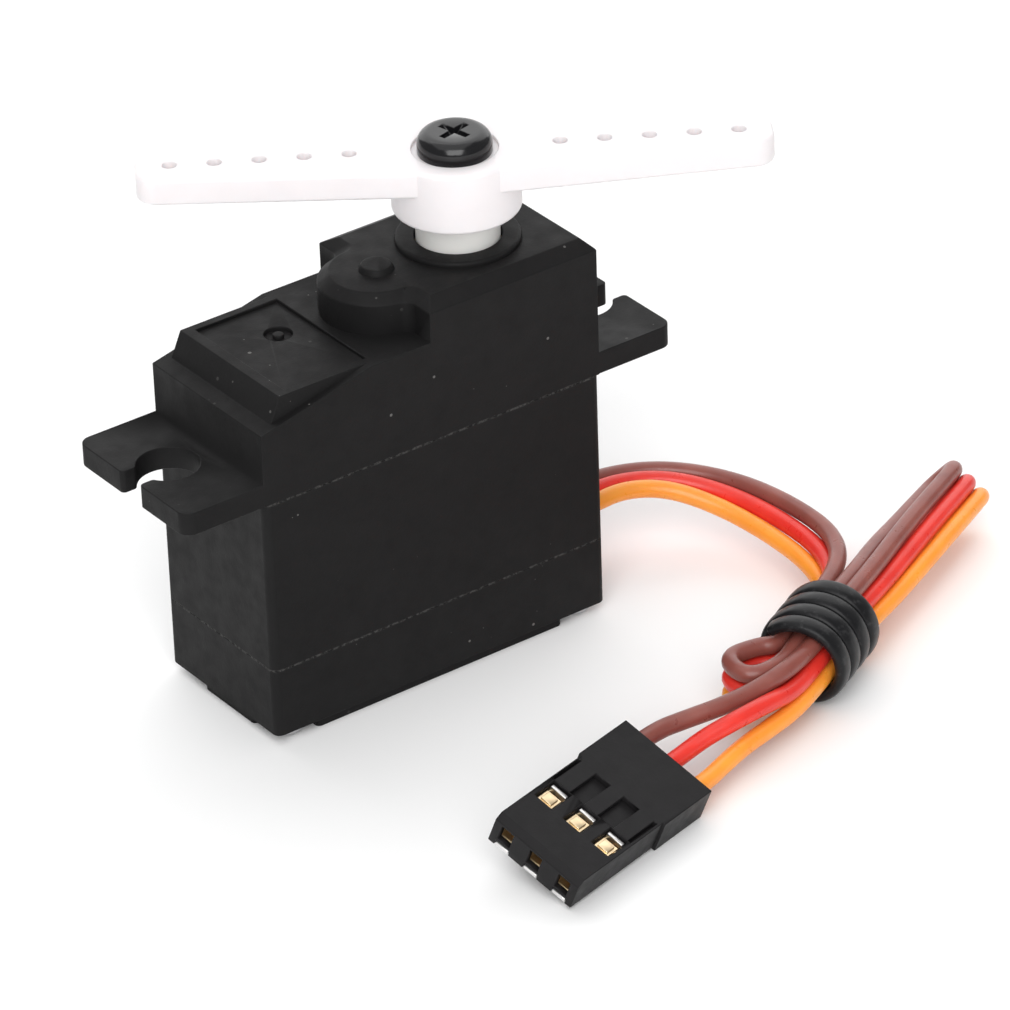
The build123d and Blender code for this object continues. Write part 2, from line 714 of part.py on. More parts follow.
# ---------------------------------------------------------------- circuit board
with BuildPart() as circuit_board:
    with BuildSketch(Plane.XY.offset(board_z[0])):
        Rectangle(inner_length - 0.6, inner_width - 0.5)
        with Locations(*[(sx * 12.9, sy * 5.4) for sx in (-1, 1) for sy in (-1, 1)]):
            Rectangle(4.3, 4.3, mode=Mode.SUBTRACT)
        with Locations((motor_x, terminal_y), (motor_x, -terminal_y)):
            Rectangle(1.1, 0.4, mode=Mode.SUBTRACT)
        with Locations(*pot_pin_points):
            Rectangle(0.9, 0.5, mode=Mode.SUBTRACT)
    extrude(amount=board_z[1] - board_z[0])
save(circuit_board, "circuit_board")

with BuildPart() as control_chip:
    block((2.6, 7.6), (-1.3, 3.7), (board_z[1], board_z[1] + 0.95))
    chamfer(control_chip.edges().group_by(Axis.Z)[-1], length=0.15)
save(control_chip, "control_chip")

with BuildPart() as driver_chips:
    with BuildSketch(Plane.XY.offset(board_z[1])):
        with Locations((1.2, 3.2), (1.2, -3.2)):
            Rectangle(2.2, 2.6)
    extrude(amount=0.6)
save(driver_chips, "driver_chips")

with BuildPart() as board_capacitor:
    with BuildSketch(Plane.XY.offset(board_z[1])):
        with Locations((10.0, 2.9)):
            Circle(1.5)
    extrude(amount=4.5)
    fillet(board_capacitor.edges().group_by(Axis.Z)[-1], radius=0.2)
save(board_capacitor, "board_capacitor")

with BuildPart() as board_resistors:
    with BuildSketch(Plane.XY.offset(board_z[1])):
        with Locations((5.2, -2.4)):
            with GridLocations(1.6, 1.0, 3, 2):
                Rectangle(1.0, 0.5)
    extrude(amount=0.35)
save(board_resistors, "board_resistors")

# ---------------------------------------------------------------- lead exit
grommet_x = (13.0, 14.7)
lead_radius = wire_diameter / 2

with BuildPart() as cable_grommet:
    block(grommet_x, (-exit_half_width + 0.05, exit_half_width - 0.05), (exit_floor_z + 0.05, seam_low_z - 0.05))
save(cable_grommet, "cable_grommet")

with BuildPart() as lead_joints:
    with BuildSketch(Plane.YZ.offset(grommet_x[0])):
        with Locations(*[(k * wire_pitch, board_z[1] + 0.45) for k in (-1, 0, 1)]):
            Circle(0.45)
    extrude(amount=-1.4)
save(lead_joints, "lead_joints")

# ---------------------------------------------------------------- leads
up = Vector(0, 0, 1)
bundle_direction = Vector(cos(bundle_angle), sin(bundle_angle), 0)
bundle_side = Vector(sin(bundle_angle), -cos(bundle_angle), 0)


def ribbon(middle, step):
    """Brown, red and orange wire centres, from the red one and the step to the brown one."""
    return [Vector(*middle) + Vector(*step), Vector(*middle), Vector(*middle) - Vector(*step)]


def layered(along, layer, lean, side=0.0, lift=0.0, pitch=bundle_pitch):
    """Wire centres in one layer of the bundle, at a distance from the tie along its axis."""
    tilt = radians(lean)
    outward = bundle_side * cos(tilt) + up * sin(tilt)
    upward = up * cos(tilt) - bundle_side * sin(tilt)
    middle = bundle_centre + bundle_direction * along + bundle_side * side + up * lift
    middle = middle + outward * (layer * pitch)
    return [middle + upward * pitch, middle, middle - upward * pitch]


def free(brown, red, orange):
    """Wire centres where the three wires run apart."""
    return [Vector(*brown), Vector(*red), Vector(*orange)]


plug_direction = Vector(-cos(plug_yaw), -sin(plug_yaw), 0)
plug_up = Vector(sin(plug_yaw), -cos(plug_yaw), 0) * sin(plug_roll) + up * cos(plug_roll)
plug_plane = Plane(plug_back_centre, x_dir=plug_direction, z_dir=plug_up)
plug_entries = [plug_plane.from_local_coords((0, k * plug_pitch, 0)) for k in (-1, 0, 1)]
plug_leads = [point - plug_direction * (2.24 - 0.16 * k) for k, point in enumerate(plug_entries)]

stations = [
    # out of the case, arching over to the tie while turning on edge
    ribbon((grommet_x[1], 0, lead_exit_z), (0, wire_pitch, 0)),
    ribbon((16.8, 0, lead_exit_z), (0, wire_pitch, 0)),
    ribbon((20.0, -0.3, 5.5), (0.4, 1.3, -0.1)),
    ribbon((23.4, -1.9, 5.2), (0.85, 1.08, 0)),
    ribbon((26.1, -5.3, 4.5), (1.2, 0.6, 0.35)),
    ribbon((27.4, -9.7, 3.9), (1.2, 0.15, 0.65)),
    ribbon((27.6, -14.0, 3.4), (0.95, -0.1, 0.95)),
    ribbon((26.2, -17.3, 3.0), (0.4, -0.1, 1.3)),
    # first pass through the tie
    layered(4.0, -1, 20),
    layered(0.3, -1, 16, lift=0.08),
    layered(-2.95, -1.02, 12),
    # short fold
    ribbon((14.95, -22.7, 3.2), (0, 0, bundle_pitch)),
    ribbon((12.2, -22.5, 3.2), (0, 0, bundle_pitch)),
    ribbon((11.95, -25.35, 3.1), (0, 0, bundle_pitch)),
    ribbon((14.8, -25.6, 3.15), (0, 0, bundle_pitch)),
    # second pass
    layered(-2.5, 0, 12),
    layered(0.3, 0, 16, lift=0.08),
    layered(4.0, 0, 20),
    # long loop
    layered(8.0, -0.05, 30, side=0.3, pitch=wire_pitch),
    layered(12.2, -0.5, 44, side=0.5, pitch=wire_pitch),
    layered(16.6, -0.8, 50, side=0.7, lift=-0.1, pitch=wire_pitch),
    layered(20.4, -0.88, 50, side=0.75, lift=-0.3, pitch=wire_pitch),
    layered(23.3, -0.8, 50, side=0.75, lift=-0.5, pitch=wire_pitch),
    layered(23.3, 1.34, 50, side=0.75, lift=-0.6, pitch=wire_pitch),
    layered(20.3, 1.5, 50, side=0.75, lift=-0.5, pitch=wire_pitch),
    layered(16.6, 1.5, 50, side=0.75, lift=-0.35, pitch=wire_pitch),
    layered(12.2, 1.3, 44, side=0.65, lift=-0.15, pitch=wire_pitch),
    layered(8.0, 1.1, 30, side=0.4, pitch=wire_pitch),
    # third pass
    layered(4.0, 1, 20),
    layered(0.3, 1, 16, lift=0.08),
    layered(-2.5, 1, 12),
    # spreading out to the plug
    free((14.4, -26.85, 4.95), (14.3, -27.45, 3.5), (14.5, -27.65, 2.2)),
    free((11.6, -26.72, 4.28), (11.6, -28.15, 4.0), (11.6, -28.45, 2.2)),
    free((8.7, -26.75, 4.2), (8.6, -28.4, 3.95), (8.6, -29.15, 2.2)),
    free((6.0, -26.1, 3.9), (6.2, -28.05, 3.35), (6.3, -29.75, 1.9)),
    plug_leads,
    plug_entries,
]


def bend_radii(points):
    """The radius of each bend, from the shorter run beside it and half its turn."""
    radii = []
    for before, corner, after in zip(points, points[1:], points[2:]):
        run_in = corner - before
        run_out = after - corner
        half_turn = radians(run_in.get_angle(run_out)) / 2
        radii.append(0.45 * min(run_in.length, run_out.length) / tan(half_turn))
    return radii


for index, name in enumerate(("lead_brown", "lead_red", "lead_orange")):
    points = [station[index] for station in stations]
    radii = bend_radii(points)
    with BuildPart() as lead:
        with BuildLine():
            route = FilletPolyline(*points, radius=radii)
        with BuildSketch(Plane(route @ 0, z_dir=route % 0)):
            Circle(lead_radius)
        sweep()
    save(lead, name)
    tube_volume = pi * lead_radius ** 2 * route.length
    print(name, "length", round(route.length, 1), "radii", [round(r, 1) for r in radii])
    print(name, "volume", round(lead.part.volume, 2), "section times length", round(tube_volume, 2))

# ---------------------------------------------------------------- tie round the bundle
tie_pitch = 1.65
tie_height = 5.1
tie_inner_radius = 2.66
tie_thickness = 0.74
tie_width = 1.5
tie_radius = tie_inner_radius + tie_thickness / 2
tie_start = bundle_centre - bundle_direction * (tie_height / 2)

with BuildPart() as lead_tie:
    with BuildLine():
        coil = Helix(tie_pitch, tie_height, tie_radius, center=tie_start, direction=bundle_direction)
    with BuildSketch(Plane(coil @ 0, x_dir=coil @ 0 - tie_start, z_dir=coil % 0)):
        RectangleRounded(tie_thickness, tie_width, 0.3)
    sweep(is_frenet=True)
save(lead_tie, "lead_tie")
print("lead_tie length", round(coil.length, 1), "volume", round(lead_tie.part.volume, 2))

# ---------------------------------------------------------------- three-way plug
collar_length = 5.1
step_depth = 0.2
slot_x = (5.5, 8.3)
window_x = (8.4, 10.5)
window_half_width = 0.8
notch_x = 12.9
notch_half_width = 0.62
lip_thickness = 0.25
socket_x = (8.3, 13.5)
pin_hole_half_width = 0.52
pin_hole_z = (-0.5, 0.7)
notch_top_z = -0.7
lip_end_x = 13.7
socket_half_width = 0.85
socket_half_height = 0.75
contact_gap = 0.04
contact_wall = 0.2
plug_half_width = plug_width / 2
plug_half_height = plug_height / 2


def plug_block(x_range, y_range, z_range, mode=Mode.ADD):
    """A block in the plug's own frame: along it, across it, and up."""
    with BuildSketch(plug_plane.offset(z_range[0])) as profile:
        with Locations(((x_range[0] + x_range[1]) / 2, (y_range[0] + y_range[1]) / 2)):
            Rectangle(x_range[1] - x_range[0], y_range[1] - y_range[0])
    extrude(profile.sketch, amount=z_range[1] - z_range[0], mode=mode)


with BuildPart() as connector_housing:
    plug_block((0, collar_length), (-plug_half_width, plug_half_width), (-plug_half_height, plug_half_height))
    plug_block((collar_length, plug_length), (-plug_half_width + step_depth, plug_half_width - step_depth),
               (-plug_half_height + step_depth, plug_half_height))
    front_top = connector_housing.edges().filter_by(
        lambda e: abs(plug_plane.to_local_coords(e.center()).X - plug_length) < 0.01
        and abs(plug_plane.to_local_coords(e.center()).Z - plug_half_height) < 0.01)
    chamfer(front_top, length=0.45)
    for k in (-1, 0, 1):
        centre_y = k * plug_pitch
        plug_block(socket_x, (centre_y - socket_half_width, centre_y + socket_half_width),
                   (-socket_half_height, socket_half_height), Mode.SUBTRACT)
        plug_block(window_x, (centre_y - window_half_width, centre_y + window_half_width),
                   (0, plug_half_height), Mode.SUBTRACT)
        plug_block((socket_x[1], plug_length),
                   (centre_y - pin_hole_half_width, centre_y + pin_hole_half_width),
                   pin_hole_z, Mode.SUBTRACT)
        plug_block((notch_x, plug_length), (centre_y - notch_half_width, centre_y + notch_half_width),
                   (-plug_half_height, notch_top_z), Mode.SUBTRACT)
    # slots that free the three latch tongues
    for left, right in ((-3.6, -3.35), (-2.0, -0.7), (0.5, 1.9), (3.2, 3.5)):
        plug_block(slot_x, (left, right), (plug_half_height - 0.5, plug_half_height), Mode.SUBTRACT)
save(connector_housing, "connector_housing")

with BuildPart() as connector_contacts:
    for k in (-1, 0, 1):
        centre_y = k * plug_pitch
        half_y = socket_half_width - contact_gap
        half_z = socket_half_height - contact_gap
        plug_block((socket_x[0] + contact_gap, socket_x[1] - contact_gap),
                   (centre_y - half_y, centre_y + half_y), (-half_z, half_z))
        plug_block((9.0, socket_x[1] - contact_gap),
                   (centre_y - half_y + contact_wall, centre_y + half_y - contact_wall),
                   (-half_z + contact_wall, half_z - contact_wall), Mode.SUBTRACT)
        plug_block((9.1, 10.4), (centre_y - 0.7, centre_y + 0.7), (half_z, half_z + 0.2))
        plug_block((notch_x + contact_gap, lip_end_x),
                   (centre_y - notch_half_width + contact_gap, centre_y + notch_half_width - contact_gap),
                   (-half_z - lip_thickness, -half_z))
save(connector_contacts, "connector_contacts")
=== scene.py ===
"""Mini servo motor with its folded, tied lead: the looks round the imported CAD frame."""

import json
import math

import bmesh
import bpy
from mathutils import Matrix, Vector


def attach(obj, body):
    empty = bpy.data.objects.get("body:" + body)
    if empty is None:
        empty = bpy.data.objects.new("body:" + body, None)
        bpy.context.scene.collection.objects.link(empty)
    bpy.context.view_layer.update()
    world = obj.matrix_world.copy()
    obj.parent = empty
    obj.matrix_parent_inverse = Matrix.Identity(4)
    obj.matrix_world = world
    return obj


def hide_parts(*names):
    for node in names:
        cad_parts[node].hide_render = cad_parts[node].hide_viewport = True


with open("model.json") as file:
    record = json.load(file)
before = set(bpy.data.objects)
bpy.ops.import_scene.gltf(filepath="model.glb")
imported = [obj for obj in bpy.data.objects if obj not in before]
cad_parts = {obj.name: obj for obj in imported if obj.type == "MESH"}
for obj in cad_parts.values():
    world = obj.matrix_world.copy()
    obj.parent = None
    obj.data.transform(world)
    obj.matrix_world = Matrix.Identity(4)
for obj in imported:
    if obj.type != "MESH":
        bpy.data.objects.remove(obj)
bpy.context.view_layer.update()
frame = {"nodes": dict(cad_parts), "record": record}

MM = 0.001
UP = Vector((0, 0, 1))
scene = bpy.context.scene

# ---------------------------------------------------------------- camera
camera_azimuth = math.radians(-35.482)
camera_elevation = math.radians(30.973)
camera_roll = math.radians(-2.027)
camera_distance = 472.351 * MM
focal_length_mm = 240.04
sensor_width_mm = 36
look_at = Vector((9.0674, -1.7196, 8.3679)) * MM
near_clip, far_clip = 0.01, 20


def make_camera():
    """The camera, turned round the point it looks at and rolled a little."""
    back = Vector((
        math.sin(camera_azimuth) * math.cos(camera_elevation),
        -math.cos(camera_azimuth) * math.cos(camera_elevation),
        math.sin(camera_elevation),
    ))
    level_right = Vector((math.cos(camera_azimuth), math.sin(camera_azimuth), 0))
    level_up = back.cross(level_right)
    right = level_right * math.cos(camera_roll) + level_up * math.sin(camera_roll)
    upward = level_up * math.cos(camera_roll) - level_right * math.sin(camera_roll)
    data = bpy.data.cameras.new("camera")
    data.lens = focal_length_mm
    data.sensor_width = sensor_width_mm
    data.clip_start = near_clip
    data.clip_end = far_clip
    camera = bpy.data.objects.new("camera", data)
    scene.collection.objects.link(camera)
    turn = Matrix((right, upward, back)).transposed().to_4x4()
    camera.matrix_world = Matrix.Translation(look_at + back * camera_distance) @ turn
    scene.camera = camera


make_camera()

# ---------------------------------------------------------------- lead wires
# The route is the one in part.py, in millimetres, and becomes metres where a wire is made.
wire_diameter = 1.3
wire_pitch = 1.36
bundle_pitch = 1.34
lead_exit = Vector((14.7, 0, 5.25))
bundle_centre = Vector((19.5, -23.5, 3.5))
bundle_angle = math.radians(27.6)
bundle_direction = Vector((math.cos(bundle_angle), math.sin(bundle_angle), 0))
bundle_side = Vector((math.sin(bundle_angle), -math.cos(bundle_angle), 0))
plug_pitch = 2.54
plug_yaw = math.radians(14.5)
plug_roll = math.radians(21.8)
plug_back_centre = Vector((2.27, -28.53, 2.75))
plug_direction = Vector((-math.cos(plug_yaw), -math.sin(plug_yaw), 0))
plug_side = Vector((math.sin(plug_yaw), -math.cos(plug_yaw), 0))
plug_up = plug_side * math.sin(plug_roll) + UP * math.cos(plug_roll)
plug_across = plug_up.cross(plug_direction)


def in_plug(x, y, z):
    """A point given along the plug, across it and up, in millimetres."""
    return plug_back_centre + plug_direction * x + plug_across * y + plug_up * z


def ribbon(middle, step):
    """Brown, red and orange wire centres, from the red one and the step to the brown one."""
    return [Vector(middle) + Vector(step), Vector(middle), Vector(middle) - Vector(step)]


def layered(along, layer, lean, side=0.0, lift=0.0, pitch=bundle_pitch):
    """Wire centres in one layer of the bundle, at a distance from the tie along its axis."""
    tilt = math.radians(lean)
    outward = bundle_side * math.cos(tilt) + UP * math.sin(tilt)
    upward = UP * math.cos(tilt) - bundle_side * math.sin(tilt)
    middle = bundle_centre + bundle_direction * along + bundle_side * side + UP * lift
    middle = middle + outward * (layer * pitch)
    return [middle + upward * pitch, middle, middle - upward * pitch]


def free(brown, red, orange):
    """Wire centres where the three wires run apart."""
    return [Vector(brown), Vector(red), Vector(orange)]


plug_entries = [in_plug(0, k * plug_pitch, 0) for k in (-1, 0, 1)]
# the wires straighten a little way before the plug, each later than the one before it
straight_run, straight_step = 2.24, 0.16
plug_leads = [
    point - plug_direction * (straight_run - straight_step * k) for k, point in enumerate(plug_entries)
]

stations = [
    # out of the case, arching over to the tie while turning on edge
    ribbon(lead_exit, (0, wire_pitch, 0)),
    ribbon((16.8, 0, lead_exit.z), (0, wire_pitch, 0)),
    ribbon((20.0, -0.3, 5.5), (0.4, 1.3, -0.1)),
    ribbon((23.4, -1.9, 5.2), (0.85, 1.08, 0)),
    ribbon((26.1, -5.3, 4.5), (1.2, 0.6, 0.35)),
    ribbon((27.4, -9.7, 3.9), (1.2, 0.15, 0.65)),
    ribbon((27.6, -14.0, 3.4), (0.95, -0.1, 0.95)),
    ribbon((26.2, -17.3, 3.0), (0.4, -0.1, 1.3)),
    # first pass through the tie
    layered(4.0, -1, 20),
    layered(0.3, -1, 16, lift=0.08),
    layered(-2.95, -1.02, 12),
    # short fold
    ribbon((14.95, -22.7, 3.2), (0, 0, bundle_pitch)),
    ribbon((12.2, -22.5, 3.2), (0, 0, bundle_pitch)),
    ribbon((11.95, -25.35, 3.1), (0, 0, bundle_pitch)),
    ribbon((14.8, -25.6, 3.15), (0, 0, bundle_pitch)),
    # second pass
    layered(-2.5, 0, 12),
    layered(0.3, 0, 16, lift=0.08),
    layered(4.0, 0, 20),
    # long loop
    layered(8.0, -0.05, 30, side=0.3, pitch=wire_pitch),
    layered(12.2, -0.5, 44, side=0.5, pitch=wire_pitch),
    layered(16.6, -0.8, 50, side=0.7, lift=-0.1, pitch=wire_pitch),
    layered(20.4, -0.88, 50, side=0.75, lift=-0.3, pitch=wire_pitch),
    layered(23.3, -0.8, 50, side=0.75, lift=-0.5, pitch=wire_pitch),
    layered(23.3, 1.34, 50, side=0.75, lift=-0.6, pitch=wire_pitch),
    layered(20.3, 1.5, 50, side=0.75, lift=-0.5, pitch=wire_pitch),
    layered(16.6, 1.5, 50, side=0.75, lift=-0.35, pitch=wire_pitch),
    layered(12.2, 1.3, 44, side=0.65, lift=-0.15, pitch=wire_pitch),
    layered(8.0, 1.1, 30, side=0.4, pitch=wire_pitch),
    # third pass
    layered(4.0, 1, 20),
    layered(0.3, 1, 16, lift=0.08),
    layered(-2.5, 1, 12),
    # spreading out to the plug
    free((14.4, -26.85, 4.95), (14.3, -27.45, 3.5), (14.5, -27.65, 2.2)),
    free((11.6, -26.72, 4.28), (11.6, -28.15, 4.0), (11.6, -28.45, 2.2)),
    free((8.7, -26.75, 4.2), (8.6, -28.4, 3.95), (8.6, -29.15, 2.2)),
    free((6.0, -26.1, 3.9), (6.2, -28.05, 3.35), (6.3, -29.75, 1.9)),
    plug_leads,
    plug_entries,
]


spline_order = 3
spline_steps = 10
wire_sides = 7


def wire(name, points):
    """A round wire along one smooth NURBS spline through the route's points."""
    data = bpy.data.curves.new(name, "CURVE")
    data.dimensions = "3D"
    spline = data.splines.new("NURBS")
    spline.points.add(len(points) - 1)
    for target, point in zip(spline.points, points):
        target.co = (*(point * MM), 1)
    spline.order_u = spline_order
    spline.use_endpoint_u = True
    spline.resolution_u = spline_steps
    data.bevel_depth = wire_diameter / 2 * MM
    data.bevel_resolution = wire_sides
    data.use_fill_caps = True
    piece = bpy.data.objects.new(name, data)
    scene.collection.objects.link(piece)
    return piece


wire_names = ("brown", "red", "orange")
wires = [wire("wire_" + word, [row[i] for row in stations]) for i, word in enumerate(wire_names)]


# ---------------------------------------------------------------- materials
# where the mix node keeps its colour sockets
MIX_FIRST, MIX_SECOND, MIX_RESULT = 6, 7, 2
RANGE_ENDS = ("From Min", "From Max", "To Min", "To Max")
seam_levels = (6.05, 19.2)
seam_fade = 0.13


class Shader:
    """A node material under construction. Patterns follow object coordinates, in metres."""

    def __init__(self, name):
        self.material = bpy.data.materials.new(name)
        self.material.use_nodes = True
        self.nodes = self.material.node_tree.nodes
        self.links = self.material.node_tree.links
        self.surface = self.nodes["Principled BSDF"]
        self.place = self.nodes.new("ShaderNodeTexCoord").outputs["Object"]

    def put(self, socket, value):
        """Links a socket to another one, or gives it a number or a colour."""
        if isinstance(value, bpy.types.NodeSocket):
            self.links.new(value, socket)
        elif isinstance(value, (tuple, list)) and len(value) == 3 and socket.type == "RGBA":
            socket.default_value = (*value, 1)
        else:
            socket.default_value = value

    def set(self, **values):
        """Sets the surface's inputs, with underscores for the spaces in their names."""
        for key, value in values.items():
            self.put(self.surface.inputs[key.replace("_", " ")], value)

    def node(self, kind, **values):
        node = self.nodes.new(kind)
        for key, value in values.items():
            setattr(node, key, value)
        return node

    def stretched(self, scale):
        """Object coordinates scaled by a different amount along each axis."""
        node = self.node("ShaderNodeMapping")
        node.inputs["Scale"].default_value = scale
        self.links.new(self.place, node.inputs["Vector"])
        return node.outputs["Vector"]

    def noise(self, scale, detail=3.0, roughness=0.55, place=None):
        node = self.node("ShaderNodeTexNoise")
        self.put(node.inputs["Vector"], place or self.place)
        node.inputs["Scale"].default_value = scale
        node.inputs["Detail"].default_value = detail
        node.inputs["Roughness"].default_value = roughness
        return node.outputs["Fac"]

    def cells(self, scale):
        """Distance to the nearest of many scattered points, and a random colour for each."""
        node = self.node("ShaderNodeTexVoronoi")
        self.put(node.inputs["Vector"], self.place)
        node.inputs["Scale"].default_value = scale
        return node.outputs["Distance"], node.outputs["Color"]

    def math(self, operation, a, b=0.0, clamp=False):
        node = self.node("ShaderNodeMath", operation=operation, use_clamp=clamp)
        self.put(node.inputs[0], a)
        self.put(node.inputs[1], b)
        return node.outputs[0]

    def ramp(self, value, low, high, out_low=0.0, out_high=1.0):
        node = self.node("ShaderNodeMapRange")
        self.put(node.inputs["Value"], value)
        for key, number in zip(RANGE_ENDS, (low, high, out_low, out_high)):
            node.inputs[key].default_value = number
        return node.outputs["Result"]

    def mix(self, factor, a, b):
        node = self.node("ShaderNodeMix", data_type="RGBA")
        self.put(node.inputs["Factor"], factor)
        self.put(node.inputs[MIX_FIRST], a)
        self.put(node.inputs[MIX_SECOND], b)
        return node.outputs[MIX_RESULT]

    def height(self, value, distance, strength=1.0, normal=None):
        node = self.node("ShaderNodeBump")
        self.put(node.inputs["Height"], value)
        node.inputs["Distance"].default_value = distance
        node.inputs["Strength"].default_value = strength
        if normal is not None:
            self.links.new(normal, node.inputs["Normal"])
        return node.outputs["Normal"]

    def coordinate(self, axis):
        node = self.node("ShaderNodeSeparateXYZ")
        self.links.new(self.place, node.inputs[0])
        return node.outputs[axis]

    def specks(self, scale, size, share):
        """A mask of small round specks, on a share of the cells."""
        distance, colour = self.cells(scale)
        split = self.node("ShaderNodeSeparateColor")
        self.links.new(colour, split.inputs[0])
        radius = self.math("MULTIPLY", split.outputs[1], size)
        spot = self.math("LESS_THAN", distance, radius)
        return self.math("MULTIPLY", spot, self.math("LESS_THAN", split.outputs[0], share))

    def line(self, level, width, axis="Z"):
        """A mask that is 1 at a level along an axis and fades out within a width."""
        away = self.math("ABSOLUTE", self.math("SUBTRACT", self.coordinate(axis), level))
        return self.ramp(away, 0.0, width, 1.0, 0.0)


def case_plastic(name):
    """Black moulded plastic with a fine grain, pale dust, and pale dotted seam lines that are partly
    rubbed wear and partly a painted highlight.
    """
    s = Shader(name)
    cloud = s.noise(260, 4)
    grain = s.noise(5200, 2, 0.6)
    base = s.mix(cloud, (0.0085, 0.0083, 0.0085), (0.0125, 0.0122, 0.0125))
    # pale dust, denser in patches
    patches = s.ramp(s.noise(150, 2), 0.46, 0.62)
    fine_dust = s.math("MULTIPLY", s.specks(1500, 0.20, 0.22), patches)
    coarse_dust = s.specks(520, 0.09, 0.22)
    dust = s.math("MAXIMUM", fine_dust, coarse_dust)
    # pale dotted lines along both seams: partly rubbed wear, partly a painted highlight where the seam
    # edges catch the light
    seams = s.math("MAXIMUM", *[s.line(level * MM, seam_fade * MM) for level in seam_levels])
    dots = s.ramp(s.noise(3600, 3, 0.7), 0.44, 0.62)
    pale_mask = s.math("MULTIPLY", s.math("MULTIPLY", seams, dots), 0.5)
    # the pale dust and the painted seam highlight both lighten the base colour
    marks = s.math("MAXIMUM", s.math("MULTIPLY", dust, 0.75), pale_mask)
    s.set(Base_Color=s.mix(marks, base, (0.16, 0.155, 0.15)))
    s.set(Roughness=s.ramp(s.noise(700, 4), 0.3, 0.7, 0.48, 0.62))
    s.set(Specular_IOR_Level=0.12)
    waves = s.height(s.noise(420, 2), 0.02 * MM, 0.5)
    s.set(Normal=s.height(grain, 0.012 * MM, 0.8, waves))
    return s.material


def white_nylon(name, low=(0.78, 0.745, 0.755), high=(0.84, 0.805, 0.815), weight=0.35):
    """Translucent white nylon, lightly scattering, between two close tints."""
    s = Shader(name)
    s.set(Base_Color=s.mix(s.noise(330, 4), low, high))
    s.set(Roughness=s.ramp(s.noise(900, 3), 0.3, 0.7, 0.30, 0.42))
    s.set(Specular_IOR_Level=0.45, Subsurface_Weight=weight, Subsurface_Scale=1.2 * MM)
    s.surface.inputs["Subsurface Radius"].default_value = (1.0, 0.85, 0.8)
    waves = s.height(s.noise(300, 2), 0.03 * MM, 0.5)
    s.set(Normal=s.height(s.noise(4200, 2), 0.005 * MM, 0.6, waves))
    return s.material


def plastic(name, colour, roughness=0.45, grain=3500, specular=0.4, depth=0.008, spread=0.12, coat=0.0):
    """Moulded plastic, rubber, paint or epoxy, with a mottled colour and a fine grain."""
    s = Shader(name)
    low = tuple(c * (1 - spread) for c in colour)
    high = tuple(min(1, c * (1 + spread)) for c in colour)
    base = s.mix(s.noise(400, 4), low, high)
    s.set(Base_Color=s.mix(s.specks(900, 0.10, 0.06), base, tuple(min(1, 0.12 + c) for c in colour)))
    s.set(Roughness=s.ramp(s.noise(1100, 3), 0.3, 0.7, roughness - 0.06, roughness + 0.06))
    s.set(Specular_IOR_Level=specular, Coat_Weight=coat, Coat_Roughness=0.12)
    s.set(Normal=s.height(s.noise(grain, 2, 0.6), depth * MM, 0.7))
    return s.material


def metal(name, colour, roughness=0.3, stretch=(300, 300, 5000), tarnish=0.25, metallic=1.0):
    """Metal with fine scratches drawn out along one axis and faint tarnish."""
    s = Shader(name)
    lines = s.noise(1.0, 4, 0.6, s.stretched(stretch))
    clouds = s.noise(350, 4)
    dark = tuple(c * (1 - tarnish) for c in colour)
    s.set(Base_Color=s.mix(s.ramp(clouds, 0.35, 0.7), colour, dark), Metallic=metallic)
    s.set(Roughness=s.ramp(s.math("ADD", lines, clouds), 0.6, 1.4, roughness - 0.08, roughness + 0.12))
    s.set(Normal=s.height(lines, 0.004 * MM, 0.6))
    return s.material


def wire_pvc(name, colour, deep):
    """Glossy insulation, a little deeper in colour in faint patches, with fine draw marks."""
    s = Shader(name)
    s.set(Base_Color=s.mix(s.ramp(s.noise(420, 3), 0.3, 0.75), colour, deep))
    s.set(Roughness=s.ramp(s.noise(1500, 3), 0.3, 0.7, 0.26, 0.40))
    s.set(Specular_IOR_Level=0.5, Subsurface_Weight=0.12, Subsurface_Scale=0.5 * MM)
    waves = s.height(s.noise(900, 2), 0.012 * MM, 0.6)
    s.set(Normal=s.height(s.noise(6500, 2), 0.002 * MM, 0.6, waves))
    return s.material


def tie_plastic(name):
    """Glossy black sleeve, rubbed in places."""
    s = Shader(name)
    pale_mask = s.math("MULTIPLY", s.ramp(s.noise(1700, 4, 0.7), 0.55, 0.68), 0.30)
    base = s.mix(s.noise(500, 3), (0.007, 0.007, 0.008), (0.012, 0.012, 0.013))
    s.set(Base_Color=s.mix(pale_mask, base, (0.07, 0.07, 0.072)))
    s.set(Roughness=s.ramp(s.noise(1200, 3), 0.3, 0.7, 0.28, 0.40), Specular_IOR_Level=0.20)
    waves = s.height(s.noise(800, 3), 0.03 * MM, 0.6)
    s.set(Normal=s.height(s.noise(5200, 2), 0.004 * MM, 0.6, waves))
    return s.material


def board_mask(name):
    """Green solder mask with darker traces under it."""
    s = Shader(name)
    traces_per_metre = 620
    rows = s.math("FRACT", s.math("MULTIPLY", s.coordinate("Y"), traces_per_metre))
    traces = s.math("LESS_THAN", rows, 0.42)
    wander = s.ramp(s.noise(300, 2), 0.45, 0.5)
    base = s.mix(s.math("MULTIPLY", traces, wander), (0.02, 0.14, 0.05), (0.035, 0.24, 0.09))
    s.set(Base_Color=base, Roughness=s.ramp(s.noise(900, 3), 0.3, 0.7, 0.22, 0.34))
    s.set(Specular_IOR_Level=0.5, Normal=s.height(traces, 0.02 * MM, 0.5))
    return s.material


